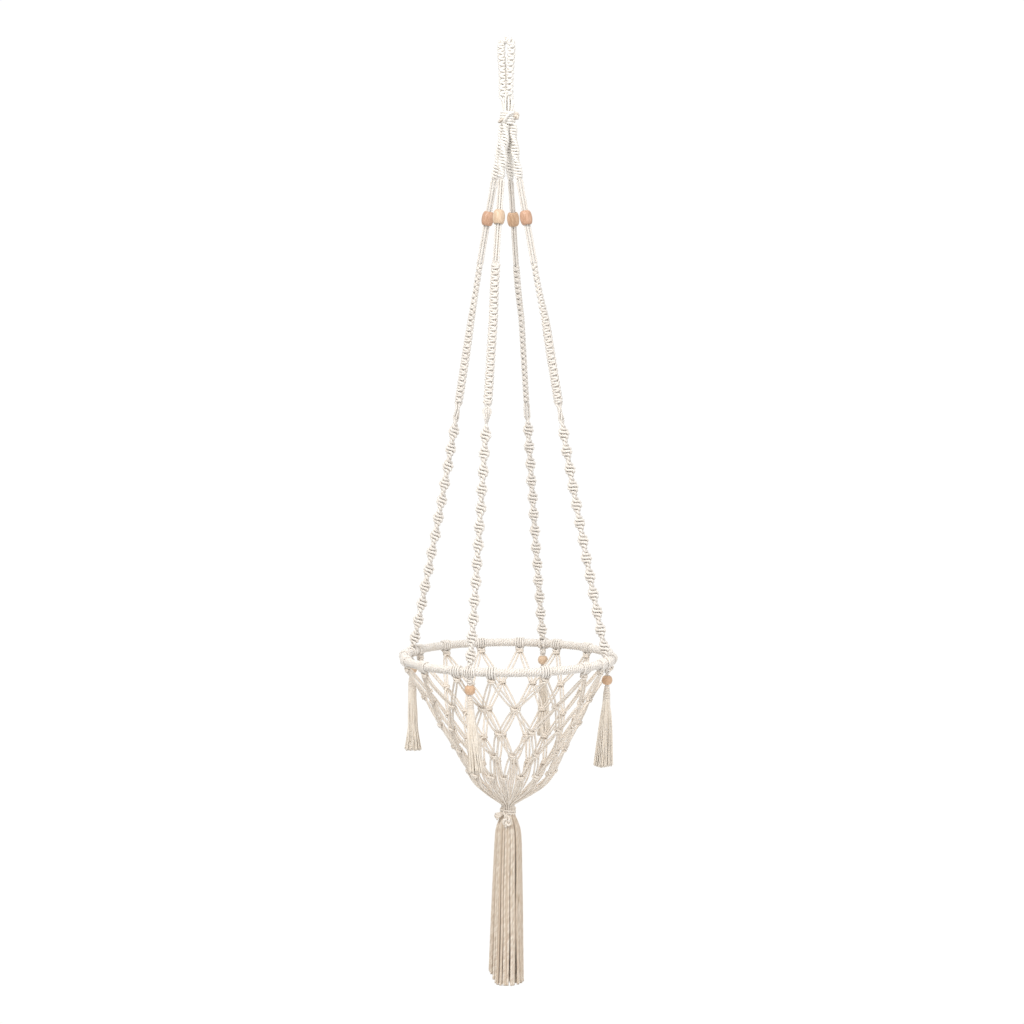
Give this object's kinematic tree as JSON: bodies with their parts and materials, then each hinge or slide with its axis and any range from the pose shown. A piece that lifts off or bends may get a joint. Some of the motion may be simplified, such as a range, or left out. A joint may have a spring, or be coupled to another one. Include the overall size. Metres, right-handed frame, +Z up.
{
  "type": "hanging macrame planter",
  "caption": "Knotted cotton-cord plant hanger: a loop, beaded arms, a cord-wrapped ring, a diamond-net basket tied below, side tassels and a long tail.",
  "frame": {"origin": "the point inside the top of the loop's eye that rests on the hook", "axes": "+Z up; +X and +Y along the horizontal directions of two neighbouring arms; the loop's two legs lie side by side along X and the hook passes through the eye along Y"},
  "size_m": [0.2618, 0.2618, 1.09],
  "materials": {
    "cotton_cord": "matt twisted cotton cord, slightly fuzzy",
    "tassel_cotton": "matt combed-out cotton fibre",
    "tail_cotton": "matt twisted cotton cord with cut ends",
    "bead_tan": "satin turned wood, fine grain along the bore",
    "bead_honey": "satin turned wood, fine grain along the bore",
    "bead_pale": "satin turned wood, fine grain along the bore",
    "hoop_steel": "plain steel rod, hidden under the wrapping cord"
  },
  "bodies": {
    "loop": {"hanging_loop": "cotton_cord"},
    "top_knot": {"top_tie": "cotton_cord", "top_bundle": "cotton_cord"},
    "hanger": {"arm_1_cords": "cotton_cord", "arm_1_upper_sennit": "cotton_cord", "arm_1_square_sennit": "cotton_cord", "arm_1_spiral_sennit": "cotton_cord", "arm_1_ring_hitch": "cotton_cord", "arm_2_cords": "cotton_cord", "arm_2_upper_sennit": "cotton_cord", "arm_2_square_sennit": "cotton_cord", "arm_2_spiral_sennit": "cotton_cord", "arm_2_ring_hitch": "cotton_cord", "arm_3_cords": "cotton_cord", "arm_3_upper_sennit": "cotton_cord", "arm_3_square_sennit": "cotton_cord", "arm_3_spiral_sennit": "cotton_cord", "arm_3_ring_hitch": "cotton_cord", "arm_4_cords": "cotton_cord", "arm_4_upper_sennit": "cotton_cord", "arm_4_square_sennit": "cotton_cord", "arm_4_spiral_sennit": "cotton_cord", "arm_4_ring_hitch": "cotton_cord", "ring_hoop": "hoop_steel", "ring_wrap": "cotton_cord", "net_lark_heads": "cotton_cord", "net_knots_row_1": "cotton_cord", "net_knots_row_2": "cotton_cord", "net_knots_row_3": "cotton_cord", "net_knots_row_4": "cotton_cord", "net_knots_row_5": "cotton_cord", "net_cords_row_1": "cotton_cord", "net_cords_row_2": "cotton_cord", "net_cords_row_3": "cotton_cord", "net_cords_row_4": "cotton_cord", "net_gather_strands": "cotton_cord", "basket_tie": "cotton_cord"},
    "upper_bead_1": {"upper_bead_1": "bead_tan"},
    "upper_bead_2": {"upper_bead_2": "bead_honey"},
    "upper_bead_3": {"upper_bead_3": "bead_tan"},
    "upper_bead_4": {"upper_bead_4": "bead_pale"},
    "tassel_1": {"tassel_1_neck": "cotton_cord", "tassel_1_head": "cotton_cord", "tassel_1_skirt": "tassel_cotton"},
    "tassel_2": {"tassel_2_neck": "cotton_cord", "tassel_2_head": "cotton_cord", "tassel_2_skirt": "tassel_cotton"},
    "tassel_3": {"tassel_3_neck": "cotton_cord", "tassel_3_head": "cotton_cord", "tassel_3_skirt": "tassel_cotton"},
    "tassel_4": {"tassel_4_neck": "cotton_cord", "tassel_4_head": "cotton_cord", "tassel_4_skirt": "tassel_cotton"},
    "lower_bead_1": {"lower_bead_1": "bead_honey"},
    "lower_bead_2": {"lower_bead_2": "bead_pale"},
    "lower_bead_3": {"lower_bead_3": "bead_pale"},
    "lower_bead_4": {"lower_bead_4": "bead_honey"},
    "tail": {"basket_tie_knot": "cotton_cord", "tail_cords": "tail_cotton"}
  },
  "joints": [
    {"name": "loop_twist", "type": "hinge", "parent": "loop", "child": "top_knot", "pos_m": [0, 0, -0.083], "axis": [0, 0, 1], "range_deg": [-180, 180]},
    {"name": "hanger_swing", "type": "hinge", "parent": "top_knot", "child": "hanger", "pos_m": [0, 0, -0.083], "axis": [1, 0, 0], "range_deg": [-25, 25]},
    {"name": "upper_bead_1_slide", "type": "slide", "parent": "hanger", "child": "upper_bead_1", "axis": [0.1858, 0, -0.9826], "range_m": [-0.033, 0.043]},
    {"name": "upper_bead_2_slide", "type": "slide", "parent": "hanger", "child": "upper_bead_2", "axis": [0, 0.1858, -0.9826], "range_m": [-0.033, 0.043]},
    {"name": "upper_bead_3_slide", "type": "slide", "parent": "hanger", "child": "upper_bead_3", "axis": [-0.1858, 0, -0.9826], "range_m": [-0.033, 0.043]},
    {"name": "upper_bead_4_slide", "type": "slide", "parent": "hanger", "child": "upper_bead_4", "axis": [0, -0.1858, -0.9826], "range_m": [-0.033, 0.043]},
    {"name": "tassel_1_swing", "type": "hinge", "parent": "hanger", "child": "tassel_1", "pos_m": [0.1204, 0, -0.7], "axis": [0, -1, 0], "range_deg": [-6, 70]},
    {"name": "tassel_2_swing", "type": "hinge", "parent": "hanger", "child": "tassel_2", "pos_m": [0, 0.1204, -0.7], "axis": [1, 0, 0], "range_deg": [-6, 70]},
    {"name": "tassel_3_swing", "type": "hinge", "parent": "hanger", "child": "tassel_3", "pos_m": [-0.1204, 0, -0.7], "axis": [0, 1, 0], "range_deg": [-6, 70]},
    {"name": "tassel_4_swing", "type": "hinge", "parent": "hanger", "child": "tassel_4", "pos_m": [0, -0.1204, -0.7], "axis": [-1, 0, 0], "range_deg": [-6, 70]},
    {"name": "lower_bead_1_spin", "type": "hinge", "parent": "tassel_1", "child": "lower_bead_1", "pos_m": [0.1204, 0, -0.7204], "axis": [0, 0, 1], "continuous": true},
    {"name": "lower_bead_2_spin", "type": "hinge", "parent": "tassel_2", "child": "lower_bead_2", "pos_m": [0, 0.1204, -0.7204], "axis": [0, 0, 1], "continuous": true},
    {"name": "lower_bead_3_spin", "type": "hinge", "parent": "tassel_3", "child": "lower_bead_3", "pos_m": [-0.1204, 0, -0.7204], "axis": [0, 0, 1], "continuous": true},
    {"name": "lower_bead_4_spin", "type": "hinge", "parent": "tassel_4", "child": "lower_bead_4", "pos_m": [0, -0.1204, -0.7204], "axis": [0, 0, 1], "continuous": true},
    {"name": "tail_swing", "type": "hinge", "parent": "hanger", "child": "tail", "pos_m": [0, 0, -0.88], "axis": [0, 1, 0], "range_deg": [-35, 35]}
  ]
}
